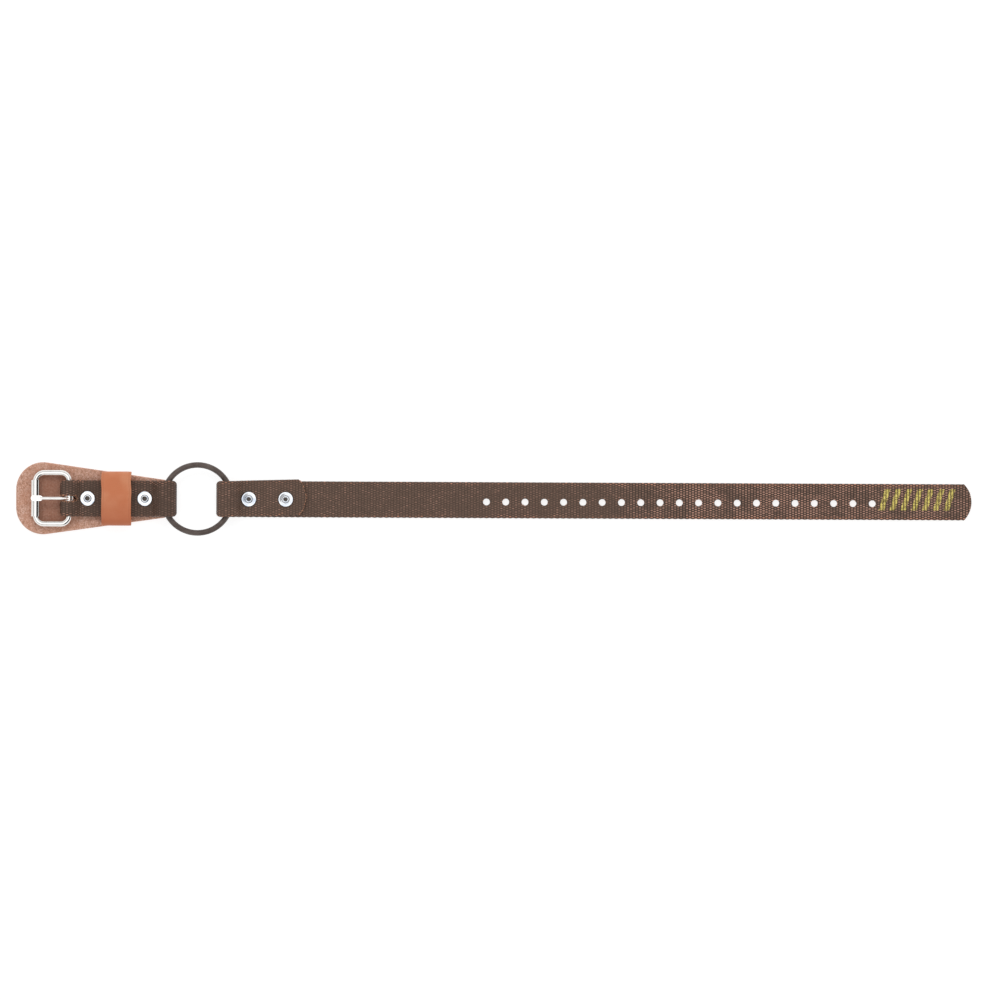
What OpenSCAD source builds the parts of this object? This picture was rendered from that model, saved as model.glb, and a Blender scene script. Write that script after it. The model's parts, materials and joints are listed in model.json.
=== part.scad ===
// Ankle strap of a pair of tree climbing spurs, lying flat with its buckle side up.
// A long punched strap and a short buckle strap hang on one steel ring. The short strap
// carries a roller buckle, a leather pad and a leather keeper loop.
// +X runs along the strap to its tip, +Y across it, +Z up off the surface it lies on.
// The origin is the middle of the whole strap's footprint, on that surface.
// The modules draw from the ring's centre, and the lines at the end move them to the origin.

/* [Webbing] */
// Width of the woven strap
web_w = 25.4; // [24:0.1:26]
// Thickness of one ply
web_t = 2.4; // [2.3:0.1:2.6]
// From the ring's centre to the tip of the long strap
long_reach = 541.5; // [520:0.5:620]
// From the ring's centre to the end of the long strap's turned-back tab
tab_reach = 75.8; // [74:0.1:90]
// Radius of the punched ends of the tip and the tab
end_r = 18; // [16:0.5:40]

/* [Strap holes] */
// Number of buckle holes
hole_count = 21; // [5:1:21]
// Distance from hole to hole
hole_pitch = 13.5; // [10:0.1:14]
// Diameter of each hole
hole_d = 4.8; // [4:0.1:6]
// From the ring's centre to the first hole
hole_start = 202.1; // [150:0.1:210]
// How far the row of holes lies off the strap's middle
hole_off = -1.2; // [-2:0.1:2]

/* [Ring] */
// Radius of the middle of the ring's wire
ring_r = 23.75; // [23.5:0.05:24.5]
// Diameter of the ring's wire
ring_wire = 4; // [3.6:0.1:4]
// Room that a web loop leaves around the ring's axis
ring_room = 4.3; // [4.3:0.05:4.6]
// From the ring's centre to the fold of the long strap
long_fold = 12.95; // [12:0.05:13]
// From the ring's centre to the fold of the buckle strap
buckle_fold = 14.2; // [13.5:0.05:14.3]

/* [Buckle] */
// From the ring's centre to the bar that the buckle turns on
bar_reach = 89.7; // [89:0.1:92]
// Distance between the hinge bar and the roller bar
frame_len = 23.6; // [22:0.1:25]
// Distance between the middles of the frame's side bars
frame_w = 35.6; // [35:0.1:38]
// Diameter of the frame's wire
frame_wire = 4; // [3.6:0.1:4]
// Radius of the frame's corners at the middle of the wire
frame_corner = 6; // [5:0.1:6]
// Outer diameter of the roller
roller_d = 6.6; // [6.6:0.1:6.8]
// Length of the roller
roller_len = 25.4; // [22:0.1:25.4]
// Wall of the roller
roller_wall = 0.8; // [0.6:0.1:0.8]
// Room that the web loop leaves around the hinge bar's axis
bar_room = 2.6; // [2.5:0.1:2.7]
// From the hinge bar to the outside of the web's fold
bar_fold = 6.6; // [6.5:0.1:7]
// Width of the slot that lets the tongue through the web
slot_w = 4.2; // [4:0.1:6]
// How far the slot runs past the hinge bar
slot_run = 6; // [5:0.1:6.2]
// From the hinge bar to the tongue's tip
tongue_len = 26.6; // [26:0.1:28]
// Diameter of the tongue's rod
tongue_rod = 2.3; // [2:0.1:2.4]
// Width of the tongue's flattened tip
tip_w = 3.8; // [3:0.1:4]
// Width of the tongue's eye
eye_w = 3; // [2.6:0.1:3.2]
// Wall of the tongue's eye and thickness of its tip
eye_wall = 1.4; // [1.2:0.1:1.5]

/* [Leather] */
// Thickness of the pad
pad_t = 3; // [2.5:0.1:4]
// From the ring's centre to the pad's wide end
pad_reach = 127; // [126:0.5:135]
// Half of the flat across the pad's wide end
pad_flat = 6.2; // [5:0.1:8]
// Radius of the pad's wide corners
pad_r = 19; // [18:0.1:20]
// From the ring's centre to the pad's narrow end
pad_end = 22.6; // [22:0.1:26]
// Half width of the pad's narrow end
pad_end_half = 13.2; // [13:0.1:15]
// Thickness of the keeper
keeper_t = 2; // [1.8:0.1:2]
// Length of the keeper along the strap
keeper_len = 21.5; // [18:0.1:22]
// Width of the keeper across the strap
keeper_w = 37.9; // [37:0.1:42]
// Outer radius of the keeper's upper corners
keeper_r = 5.2; // [4:0.1:6]
// From the ring's centre to the middle of the keeper
keeper_reach = 56.7; // [56.4:0.1:57]
// Room over the web for the strap's end
keeper_gap = 4.6; // [4.5:0.1:6]
// How far the keeper slides each way
keeper_play = 2.6; // [1:0.1:3]

/* [Rivets] */
// From the ring's centre to each rivet, buckle end first
rivet_at = [-76.9, -36.9, 35.8, 61.6];
// Diameter of the hole in the end of each rivet
rivet_bore = [2.8, 2.8, 2.2, 2.2];
// Rise of each washer's rim over its middle
washer_dish = [0, 0, 0.3, 0.3];
// Diameter of a rivet's shank
shank_d = 4; // [3.6:0.1:4]
// Diameter of a rivet's head
head_d = 9.2; // [8.5:0.1:9.6]
// Height of a rivet's head
head_h = 1.2; // [1:0.1:1.4]
// How far a head stands out under the leather or the web
head_proud = 0.6; // [0.4:0.1:0.8]
// Radius of the rolled lip on a rivet's end
lip_r = 0.85; // [0.7:0.05:0.9]
// Diameter of the washers
washer_d = 10.2; // [9.5:0.1:10.4]
// Thickness of the washers
washer_t = 0.7; // [0.6:0.1:0.8]

/* [Hidden] */
$fn = 64;
far = 1000;
// Clearance between fixed pieces, and between pieces that move
play = 0.05;
gap = 0.3;
brown = [0.34, 0.28, 0.25];
tan = [0.78, 0.58, 0.48];
russet = [0.76, 0.47, 0.33];
nickel = [0.85, 0.85, 0.84];
zinc = [0.86, 0.88, 0.92];
iron = [0.29, 0.26, 0.25];

// Heights of the plies: the long strap and the pad lie at z_base, on the rivets' heads.
z_base = head_proud;
z_tab = z_base + web_t;
z_pad_top = z_base + pad_t;
z_short = z_pad_top + web_t;
z_short_top = z_short + web_t;
washer_r = washer_d / 2;
bend_steps = 24;

// The web covers an arc of the ring. The ring turns on the middle line of that arc.
arc_in = sqrt(pow(ring_r - ring_wire / 2, 2) - pow(web_w / 2, 2));
arc_mid = (arc_in + ring_r + ring_wire / 2) / 2;
z_long_axis = z_base + web_t + ring_room;
z_short_axis = z_pad_top + web_t + ring_room;
ring_lean = asin((z_short_axis - z_long_axis) / (2 * arc_mid));
ring_axis = arc_mid * cos(ring_lean);
long_run = run_for(rivet_at[2] - washer_r - play - ring_axis, ring_room);
short_run = run_for(-ring_axis - rivet_at[1] - washer_r - play, ring_room);

// The buckle leans until its roller is just clear of the pad.
z_bar = z_pad_top + web_t + bar_room;
frame_lean = asin((z_bar - z_pad_top - roller_d / 2 - gap) / frame_len);
bar_run = run_for(rivet_at[0] - washer_r - play + bar_reach, bar_room);

// The two turned-back tails of the buckle strap leave the keeper its play between them.
tail_gap = keeper_len / 2 + keeper_play + gap;
z_keeper = (z_pad_top + z_short - keeper_t) / 2;
keeper_h = z_short_top + keeper_gap + keeper_t - z_keeper;
staple_wire = 0.9;
staple_reach = 7;
staple_step = 5;
staple_lift = 0.2;

// How far from its bar the upper ply of a loop meets the lower one, if its top is to be flat from limit on
function run_for(limit, room) = (limit + sqrt(limit * limit - 4 * web_t * room)) / 2;

function arc(middle, radius, from, to) =
    [for (i = [0 : bend_steps]) let (a = from + (to - from) * i / bend_steps) middle + radius * [cos(a), sin(a)]];

// Side view of a web loop around the point that its bar turns on. The fold is at -fold. The upper ply
// comes down onto the lower one at run and goes on to over, and the lower ply goes on to reach.
module loop_side(room, fold, run, over, reach) {
    shift = fold - web_t - room;
    outer = room + web_t;
    slope = 2 * atan(room / run);
    crease = run + web_t * tan(slope / 2);
    difference() {
        polygon(concat([[over, -room + web_t], [crease, -room + web_t]], arc([0, 0], outer, 90 - slope, 90),
                       arc([-shift, 0], outer, 90, 270), [[reach, -outer], [reach, -room], [over, -room]]));
        polygon(concat([[run, -room]], arc([0, 0], room, 90 - slope, 90), arc([-shift, 0], room, 90, 270)));
        // The round face that bears on the bar
        intersection() {
            circle(room + play);
            translate([-outer, 0]) square([2 * outer, outer]);
        }
    }
}

// Stands a side view up across the strap.
module across(width) {
    rotate([90, 0, 0]) translate([0, 0, -width / 2]) linear_extrude(width) children();
}

// What a punch takes off around the round end of a ply that lies at z
module punched_off(to, z) {
    translate([to - end_r, 0, z]) linear_extrude(web_t + 1) difference() {
        translate([0, -web_w]) square([end_r + 1, 2 * web_w]);
        circle(end_r, $fn = 128);
    }
}

module rivet_shank(x) {
    translate([x, 0, 0]) cylinder(d = shank_d + 2 * play, h = z_short_top + 1);
}

// Seat of a rivet's head in whatever lies lowest.
module head_seat(x) {
    translate([x, 0, 0]) cylinder(d = head_d + 2 * play, h = head_h);
}

module long_strap() {
    color(brown) difference() {
        translate([ring_axis, 0, z_long_axis]) across(web_w)
            loop_side(ring_room, ring_axis - long_fold, long_run, tab_reach - ring_axis, long_reach - ring_axis);
        punched_off(tab_reach, z_tab);
        punched_off(long_reach, 0);
        for (i = [2, 3]) {
            rivet_shank(rivet_at[i]);
            head_seat(rivet_at[i]);
        }
        for (i = [0 : hole_count - 1])
            translate([hole_start + i * hole_pitch, hole_off, 0]) cylinder(d = hole_d, h = z_tab + 1);
    }
}

// One piece of web: both of its ends turn back below, and its loops hold the buckle and the ring.
module buckle_strap() {
    bar_tail = bar_reach - keeper_reach - tail_gap;
    ring_tail = keeper_reach - tail_gap - ring_axis;
    color(brown) difference() {
        across(web_w) {
            translate([-bar_reach, z_bar])
                loop_side(bar_room, bar_fold, bar_run, bar_reach - keeper_reach + 1, bar_tail);
            translate([-ring_axis, z_short_axis]) mirror([1, 0])
                loop_side(ring_room, ring_axis - buckle_fold, short_run, keeper_reach - ring_axis + 1, ring_tail);
        }
        for (i = [0, 1]) rivet_shank(rivet_at[i]);
        translate([-bar_reach, 0, z_pad_top - 1]) linear_extrude(far) {
            translate([-far, -slot_w / 2]) square([far + slot_run - slot_w / 2, slot_w]);
            translate([slot_run - slot_w / 2, 0]) circle(d = slot_w);
        }
    }
}

// Plan of the pad: two round wide corners, and straight sides that leave them at a tangent.
module pad_outline() {
    corner = [pad_r - pad_reach, pad_flat];
    end = [-pad_end, pad_end_half];
    line = end - corner;
    turn = acos(pad_r / norm(line)) + atan2(line[1], line[0]);
    steps = 32;
    upper = [for (i = [0 : steps]) let (a = turn + (180 - turn) * i / steps) corner + pad_r * [cos(a), sin(a)]];
    lower = [for (i = [steps : -1 : 0]) [upper[i][0], -upper[i][1]]];
    polygon(concat([end], upper, lower, [[end[0], -end[1]]]));
}

module leather_pad() {
    color(tan) difference() {
        translate([0, 0, z_base]) linear_extrude(pad_t) pad_outline();
        for (i = [0, 1]) {
            rivet_shank(rivet_at[i]);
            head_seat(rivet_at[i]);
        }
    }
}

// A rectangle from y = 0 up, with round upper corners and sharper lower ones.
module keeper_outline(width, height, upper, lower) {
    intersection() {
        translate([-width / 2, 0]) square([width, height]);
        union() {
            for (side = [-1, 1]) {
                translate([side * (width / 2 - upper), height - upper]) circle(upper);
                translate([side * (width / 2 - lower), lower]) circle(lower);
            }
            translate([-width / 2 + upper, lower]) square([width - 2 * upper, height - lower]);
            translate([-width / 2, lower]) square([width, height - lower - upper]);
            translate([-width / 2 + lower, 0]) square([width - 2 * lower, height - upper]);
        }
    }
}

// A flat-wire staple across the butt joint of the keeper's ends, let into the leather from above
module staple(i, room) {
    wire = staple_wire + room;
    depth = keeper_t - staple_lift + room;
    translate([-keeper_reach + (2 * i - 1) * staple_step, 0, z_keeper + keeper_t + room]) {
        translate([-wire / 2, -(staple_reach + wire) / 2, -wire]) cube([wire, staple_reach + wire, wire]);
        for (side = [-1, 1]) translate([-wire / 2, side * staple_reach / 2 - wire / 2, -depth])
            cube([wire, wire, depth]);
    }
}

module keeper_loop() {
    lower_r = 2.6;
    color(russet) difference() {
        translate([-keeper_reach - keeper_len / 2, 0, z_keeper]) rotate([90, 0, 90]) linear_extrude(keeper_len)
            difference() {
                keeper_outline(keeper_w, keeper_h, keeper_r, lower_r);
                translate([0, keeper_t]) keeper_outline(keeper_w - 2 * keeper_t, keeper_h - 2 * keeper_t,
                                                        keeper_r - keeper_t, lower_r - keeper_t);
            }
        for (i = [0, 1]) staple(i, play);
    }
}

module keeper_staple(i) {
    color(zinc) staple(i, 0);
}

module ring() {
    color(iron) translate([0, 0, (z_long_axis + z_short_axis) / 2]) rotate([0, ring_lean, 0])
        rotate_extrude($fn = 128) translate([ring_r, 0]) circle(d = ring_wire);
}

// Places what is drawn from the hinge bar in the plane of the buckle's frame.
module at_bar() {
    translate([-bar_reach, 0, z_bar]) rotate([0, -frame_lean, 0]) children();
}

module buckle_frame() {
    half_x = frame_len / 2 - frame_corner;
    half_y = frame_w / 2 - frame_corner;
    color(nickel) at_bar() translate([-frame_len / 2, 0, 0]) for (side = [-1, 1]) {
        translate([0, side * frame_w / 2, 0]) rotate([0, 90, 0])
            cylinder(d = frame_wire, h = 2 * half_x, center = true);
        translate([side * frame_len / 2, 0, 0]) rotate([90, 0, 0])
            cylinder(d = frame_wire, h = 2 * half_y, center = true);
        for (turn = [0, 90]) rotate([0, 0, 90 - 90 * side]) mirror([0, turn / 90, 0])
            translate([half_x, half_y, 0]) rotate_extrude(angle = 90) translate([frame_corner, 0])
                circle(d = frame_wire);
    }
}

module buckle_roller() {
    color(nickel) at_bar() translate([-frame_len, 0, 0]) rotate([90, 0, 0]) difference() {
        cylinder(d = roller_d, h = roller_len, center = true);
        cylinder(d = roller_d - 2 * roller_wall, h = roller_len + 1, center = true);
    }
}

// The tongue's eye wraps the hinge bar, and its rod rises from the eye to lie over the roller.
module buckle_tongue() {
    eye_in = frame_wire / 2 + 0.15;
    rod_from = eye_in + eye_wall / 2;
    rod_to = roller_d / 2 + gap + eye_wall / 2;
    rise = atan((rod_to - rod_from) / frame_len);
    tip_len = 6.4;
    color(nickel) at_bar() {
        across(eye_w) difference() {
            circle(eye_in + eye_wall);
            circle(eye_in);
        }
        difference() {
            translate([0, 0, rod_from]) rotate([0, rise, 0]) {
                translate([-tongue_len + tip_len, 0, 0]) rotate([0, 90, 0])
                    cylinder(d = tongue_rod, h = tongue_len - tip_len);
                translate([0, 0, -eye_wall / 2]) linear_extrude(eye_wall) {
                    translate([-tongue_len + tip_w / 2, 0]) circle(d = tip_w);
                    translate([-tongue_len + tip_w / 2, -tip_w / 2]) square([tip_len - tip_w / 2, tip_w]);
                    translate([-tongue_len + tip_len, 0]) circle(d = tip_w);
                }
            }
            rotate([90, 0, 0]) cylinder(r = eye_in, h = eye_w + 1, center = true);
        }
    }
}

// Height of the top of the plies under rivet i
function ply_top(i) = i < 2 ? z_short_top : z_tab + web_t;

// A semi-tubular rivet: a domed head below, and a lip rolled over the washer above.
module rivet(i) {
    dome = (pow(head_d / 2, 2) + pow(head_h, 2)) / (2 * head_h);
    top = ply_top(i) + washer_t;
    bore_depth = 3;
    color(zinc) translate([rivet_at[i], 0, 0]) rotate_extrude() difference() {
        union() {
            intersection() {
                translate([0, dome]) circle(dome, $fn = 256);
                square([head_d / 2, head_h]);
            }
            square([shank_d / 2, top]);
            intersection() {
                translate([shank_d / 2, top]) circle(lip_r);
                translate([0, top]) square([shank_d, lip_r]);
            }
        }
        translate([0, top - bore_depth]) square([rivet_bore[i] / 2, bore_depth + lip_r]);
    }
}

module rivet_washer(i) {
    inner = shank_d / 2 + play;
    lip_seat = shank_d / 2 + lip_r + play;
    rim = washer_t + washer_dish[i];
    edge = 0.25;
    color(zinc) translate([rivet_at[i], 0, ply_top(i)]) rotate_extrude()
        polygon([[inner, 0], [washer_r, 0], [washer_r, rim - edge], [washer_r - edge, rim],
                 [washer_r - 3 * edge, rim], [lip_seat, washer_t], [inner, washer_t]]);
}

// The ring's centre sits left of the footprint's middle.
module in_place() {
    translate([(pad_reach - long_reach) / 2, 0, 0]) children();
}

in_place() long_strap();
in_place() buckle_strap();
in_place() leather_pad();
in_place() keeper_loop();
in_place() keeper_staple(0);  // keeper_staple_1
in_place() keeper_staple(1);  // keeper_staple_2
in_place() ring();
in_place() buckle_frame();
in_place() buckle_roller();
in_place() buckle_tongue();
in_place() rivet(0);  // rivet_1
in_place() rivet(1);  // rivet_2
in_place() rivet(2);  // rivet_3
in_place() rivet(3);  // rivet_4
in_place() rivet_washer(0);  // rivet_washer_1
in_place() rivet_washer(1);  // rivet_washer_2
in_place() rivet_washer(2);  // rivet_washer_3
in_place() rivet_washer(3);  // rivet_washer_4
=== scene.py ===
# Ankle strap of a pair of climbing spurs: webbing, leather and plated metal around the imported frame.
import json
import math
import random

import bmesh
import bpy
import numpy as np
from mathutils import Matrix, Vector, noise


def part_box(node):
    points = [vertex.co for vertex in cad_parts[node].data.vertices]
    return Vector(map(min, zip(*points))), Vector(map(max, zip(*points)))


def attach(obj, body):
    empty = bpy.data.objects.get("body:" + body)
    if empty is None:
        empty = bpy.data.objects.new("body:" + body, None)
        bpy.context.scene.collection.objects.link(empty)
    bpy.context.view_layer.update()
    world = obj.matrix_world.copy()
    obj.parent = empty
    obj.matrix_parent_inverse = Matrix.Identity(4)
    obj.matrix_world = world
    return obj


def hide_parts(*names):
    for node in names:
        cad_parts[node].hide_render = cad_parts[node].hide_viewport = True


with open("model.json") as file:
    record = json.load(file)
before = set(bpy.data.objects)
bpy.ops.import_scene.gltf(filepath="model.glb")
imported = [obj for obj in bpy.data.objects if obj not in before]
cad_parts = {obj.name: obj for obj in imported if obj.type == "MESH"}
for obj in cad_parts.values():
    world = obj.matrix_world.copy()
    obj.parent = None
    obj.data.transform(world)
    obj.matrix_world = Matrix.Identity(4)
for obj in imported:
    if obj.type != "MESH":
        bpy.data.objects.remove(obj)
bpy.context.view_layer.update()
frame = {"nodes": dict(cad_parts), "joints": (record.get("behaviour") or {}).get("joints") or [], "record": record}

boxes = {name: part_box(name) for name in frame["nodes"]}
pivots = {joint["name"]: Vector(joint.get("pos_m", (0, 0, 0))) for joint in frame["joints"]}
mm = 0.001
print("frame loaded:", len(boxes), "nodes")

# places that the frame gives
ringCentre = sum(boxes["ring"], Vector()) / 2
padTop = boxes["leather_pad"][1].z
plyTop = boxes["rivet_washer_1"][0].z            # upper face of the buckle strap
webThickness = (plyTop - padTop) / 2
webWidth = boxes["buckle_strap"][1].y - boxes["buckle_strap"][0].y
rivetX = [(boxes[f"rivet_{i}"][0].x + boxes[f"rivet_{i}"][1].x) / 2 for i in range(1, 5)]
washerRadius = (boxes["rivet_washer_1"][1].x - boxes["rivet_washer_1"][0].x) / 2
shankRadius = 2.0 * mm
holeMounts = [mount for mount in frame["record"]["mounts"] if mount["kind"] == "bolt_pattern"]
strapHoles = sorted(
    {
        round(mount["pos_m"][0] + side * mount["dims"]["spacing_x_mm"] * mm / 2, 6)
        for mount in holeMounts for side in (-1, 1)
    }
)
holeY = holeMounts[0]["pos_m"][1]
holeRadius = holeMounts[0]["dims"]["hole_r_mm"] * mm


# puts a number, a colour or another node's output into a socket
def plug(tree, source, socket):
    if isinstance(source, (int, float, tuple)):
        socket.default_value = source
    else:
        tree.links.new(source, socket)


def mathNode(tree, operation, first, second=0.0, third=0.0, clamp=False):
    made = tree.nodes.new("ShaderNodeMath")
    made.operation = operation
    made.use_clamp = clamp
    for value, socket in zip((first, second, third), made.inputs):
        plug(tree, value, socket)
    return made.outputs[0]


def times(tree, first, second, clamp=False):
    return mathNode(tree, "MULTIPLY", first, second, clamp=clamp)


def plus(tree, first, second):
    return mathNode(tree, "ADD", first, second)


def minus(tree, first, second):
    return mathNode(tree, "SUBTRACT", first, second)


def divided(tree, first, second):
    return mathNode(tree, "DIVIDE", first, second)


def absolute(tree, value):
    return mathNode(tree, "ABSOLUTE", value)


def rampNode(tree, value, low, high, outLow=0.0, outHigh=1.0, kind="SMOOTHSTEP"):
    made = tree.nodes.new("ShaderNodeMapRange")
    made.interpolation_type = kind
    for key, number in (("Value", value), ("From Min", low), ("From Max", high),
                        ("To Min", outLow), ("To Max", outHigh)):
        plug(tree, number, made.inputs[key])
    return made.outputs["Result"]


def mixColour(tree, share, first, second):
    made = tree.nodes.new("ShaderNodeMix")
    made.data_type = "RGBA"
    plug(tree, share, made.inputs[0])
    plug(tree, first, made.inputs[6])
    plug(tree, second, made.inputs[7])
    return made.outputs[2]


def noiseNode(tree, vector, scale, detail=3.0, roughness=0.55, distortion=0.0):
    made = tree.nodes.new("ShaderNodeTexNoise")
    plug(tree, vector, made.inputs["Vector"])
    made.inputs["Scale"].default_value = scale
    made.inputs["Detail"].default_value = detail
    made.inputs["Roughness"].default_value = roughness
    made.inputs["Distortion"].default_value = distortion
    return made.outputs["Fac"]


def bumpNode(tree, height, strength, distance):
    made = tree.nodes.new("ShaderNodeBump")
    made.inputs["Strength"].default_value = strength
    made.inputs["Distance"].default_value = distance
    plug(tree, height, made.inputs["Height"])
    return made.outputs["Normal"]


def stretched(tree, vector, scale):
    made = tree.nodes.new("ShaderNodeMapping")
    tree.links.new(vector, made.inputs["Vector"])
    made.inputs["Scale"].default_value = scale
    return made.outputs["Vector"]


def split(tree, vector):
    made = tree.nodes.new("ShaderNodeSeparateXYZ")
    tree.links.new(vector, made.inputs[0])
    return made.outputs


def objectPlace(tree):
    return tree.nodes.new("ShaderNodeTexCoord").outputs["Object"]


def attributeNode(tree, name):
    made = tree.nodes.new("ShaderNodeAttribute")
    made.attribute_name = name
    return made.outputs


# a screen colour, from 0 to 255, as the linear colour that a shader takes
def rgb(*screen):
    shares = [value / 255 for value in screen]
    linear = [share / 12.92 if share <= 0.04045 else ((share + 0.055) / 1.055) ** 2.4 for share in shares]
    return (*linear, 1.0)


def newMaterial(name, values):
    material = bpy.data.materials.new(name)
    material.use_nodes = True
    tree = material.node_tree
    shader = tree.nodes["Principled BSDF"]
    for key, value in values.items():
        shader.inputs[key].default_value = value
    return material, tree, shader


def newGroup(name, inputs, outputs):
    group = bpy.data.node_groups.new(name, "ShaderNodeTree")
    for label, kind, value in inputs:
        socket = group.interface.new_socket(label, in_out="INPUT", socket_type=kind)
        if value is not None:
            socket.default_value = value
    for label in outputs:
        group.interface.new_socket(label, in_out="OUTPUT", socket_type="NodeSocketFloat")
    return group, group.nodes.new("NodeGroupInput").outputs, group.nodes.new("NodeGroupOutput").inputs


def useGroup(tree, group, **values):
    made = tree.nodes.new("ShaderNodeGroup")
    made.node_tree = group
    for key, value in values.items():
        plug(tree, value, made.inputs[key])
    return made.outputs


weave = {
    "pitch": 2.06 * mm,       # one crossing thread to the next
    "yarns": 31,              # yarns side by side across the web
    "relief": 0.16 * mm,      # crown of a yarn over the middle level
    "corner": 2.0 * mm,       # rounding of the selvages where the web folds
    "bulge": 0.35,            # how much a whole column of crowns stands out
}
weave["yarn"] = webWidth / weave["yarns"]


# crowns, columns and gaps of a plain weave, from the distance along and across the web
def plainWeaveGroup():
    group, given, out = newGroup(
        "plain weave",
        [
            ("Along", "NodeSocketFloat", 0.0),
            ("Across", "NodeSocketFloat", 0.0),
            ("Face", "NodeSocketFloat", 1.0),
        ],
        ("Crown", "Column", "Height", "Cell"),
    )
    along = divided(group, given["Along"], weave["pitch"])
    across = plus(group, divided(group, given["Across"], weave["yarn"]), weave["yarns"] / 2)
    yarn = mathNode(group, "FLOOR", across)
    place = mathNode(group, "FRACT", across)
    wave = mathNode(group, "COSINE", times(group, plus(group, along, yarn), math.pi))
    over = times(group, wave, given["Face"])
    profile = mathNode(group, "SINE", times(group, place, math.pi))
    crown = times(group, rampNode(group, over, 0.1, 0.95), rampNode(group, profile, 0.1, 0.9))
    column = rampNode(group, absolute(group, wave), 0.1, 0.9)
    height = plus(group, times(group, over, profile), times(group, column, weave["bulge"]))
    # one random value for each crown
    corner = group.nodes.new("ShaderNodeCombineXYZ")
    plug(group, mathNode(group, "ROUND", along), corner.inputs[0])
    plug(group, yarn, corner.inputs[1])
    cell = group.nodes.new("ShaderNodeTexWhiteNoise")
    cell.noise_dimensions = "2D"
    group.links.new(corner.outputs[0], cell.inputs["Vector"])
    found = {"Crown": crown, "Column": column, "Height": height, "Cell": cell.outputs["Value"]}
    for label, value in found.items():
        plug(group, value, out[label])
    return group


# patches at three sizes, for leather, paint and coated cloth
def mottleGroup():
    group, given, out = newGroup(
        "mottle",
        [("Vector", "NodeSocketVector", None), ("Scale", "NodeSocketFloat", 1.0)],
        ("Broad", "Middle", "Fine"),
    )
    scaled = group.nodes.new("ShaderNodeVectorMath")
    scaled.operation = "SCALE"
    plug(group, given["Vector"], scaled.inputs[0])
    plug(group, given["Scale"], scaled.inputs["Scale"])
    for label, scale, detail in (("Broad", 60.0, 2.0), ("Middle", 420.0, 3.0), ("Fine", 1900.0, 4.0)):
        plug(group, noiseNode(group, scaled.outputs[0], scale, detail, roughness=0.6), out[label])
    return group


# fine scratches and smudges on plated or painted metal
def handlingGroup():
    group, given, out = newGroup(
        "handling marks",
        [("Vector", "NodeSocketVector", None)],
        ("Smudge", "Scratch"),
    )
    smudge = noiseNode(group, given["Vector"], 260.0, 4.0, roughness=0.6, distortion=0.4)
    plug(group, smudge, out["Smudge"])
    lines = [noiseNode(group, stretched(group, given["Vector"], scale), 1.0, 2.0)
             for scale in ((6000.0, 500.0, 900.0), (700.0, 5200.0, 800.0))]
    sharp = [rampNode(group, line, 0.62, 0.72) for line in lines]
    plug(group, mathNode(group, "MAXIMUM", *sharp), out["Scratch"])
    return group


plainWeave = plainWeaveGroup()
mottle = mottleGroup()
handling = handlingGroup()


# ribbons of web and leather
tiny = 0.0001 * mm            # shorter than this has no direction


def arcPoints(centre, radius, start, end, step=4.0):
    count = max(2, int(abs(end - start) / step))
    angles = np.radians(np.linspace(start, end, count + 1))
    return [(centre[0] + radius * math.cos(a), centre[1] + radius * math.sin(a)) for a in angles]


# evenly spaced points with their distances along the path and their normals, and creases a little rounded
def evenPath(points, step=0.15 * mm, soften=6):
    points = np.array(points)
    spans = np.hypot(*np.diff(points, axis=0).T)
    points = points[np.r_[True, spans > tiny]]
    dist = np.r_[0, np.cumsum(np.hypot(*np.diff(points, axis=0).T))]
    even = np.linspace(0, dist[-1], int(dist[-1] / step) + 1)
    line = np.stack([np.interp(even, dist, points[:, k]) for k in (0, 1)], 1)
    for _ in range(soften):
        line[1:-1] = (line[:-2] + 2 * line[1:-1] + line[2:]) / 4
    dist = np.r_[0, np.cumsum(np.hypot(*np.diff(line, axis=0).T))]
    along = np.gradient(line, axis=0)
    along /= np.hypot(*along.T)[:, None]
    normal = np.stack([along[:, 1], -along[:, 0]], 1)
    return {"dist": dist, "line": line, "normal": normal, "length": dist[-1]}


def atPath(path, distance):
    spot = [np.interp(distance, path["dist"], path["line"][:, k]) for k in (0, 1)]
    out = [np.interp(distance, path["dist"], path["normal"][:, k]) for k in (0, 1)]
    return spot, out


# middle line of a web loop, from the crease of its upper ply round the fold to its lower ply;
# side is -1 when the fold is towards -X of the pivot, and the top is flat from flatX on
def loopPath(pivot, room, foldX, flatX, side):
    fold = abs(foldX - pivot.x)
    flat = abs(flatX - pivot.x)
    run = (flat + math.sqrt(flat * flat - 4 * webThickness * room)) / 2
    radius = room + webThickness / 2
    shift = fold - webThickness - room
    slope = 2 * math.degrees(math.atan2(room, run))
    crease = run + webThickness / 2 * math.tan(math.radians(slope / 2))
    local = [(crease, -room + webThickness / 2)]
    local += arcPoints((0, 0), radius, 90 - slope, 90)
    local += arcPoints((-shift, 0), radius, 90, 270)
    return [(pivot.x - side * x, pivot.z + z) for x, z in local]


# nearest point on a hole's middle line, and the way out from it
def capsuleDistance(point, start, end):
    line = end - start
    share = 0.0               # a round hole's line has no length
    if line.length > tiny:
        share = max(0.0, min(1.0, (point - start).dot(line) / line.length_squared))
    nearest = start + line * share
    return nearest, point - nearest


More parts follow.
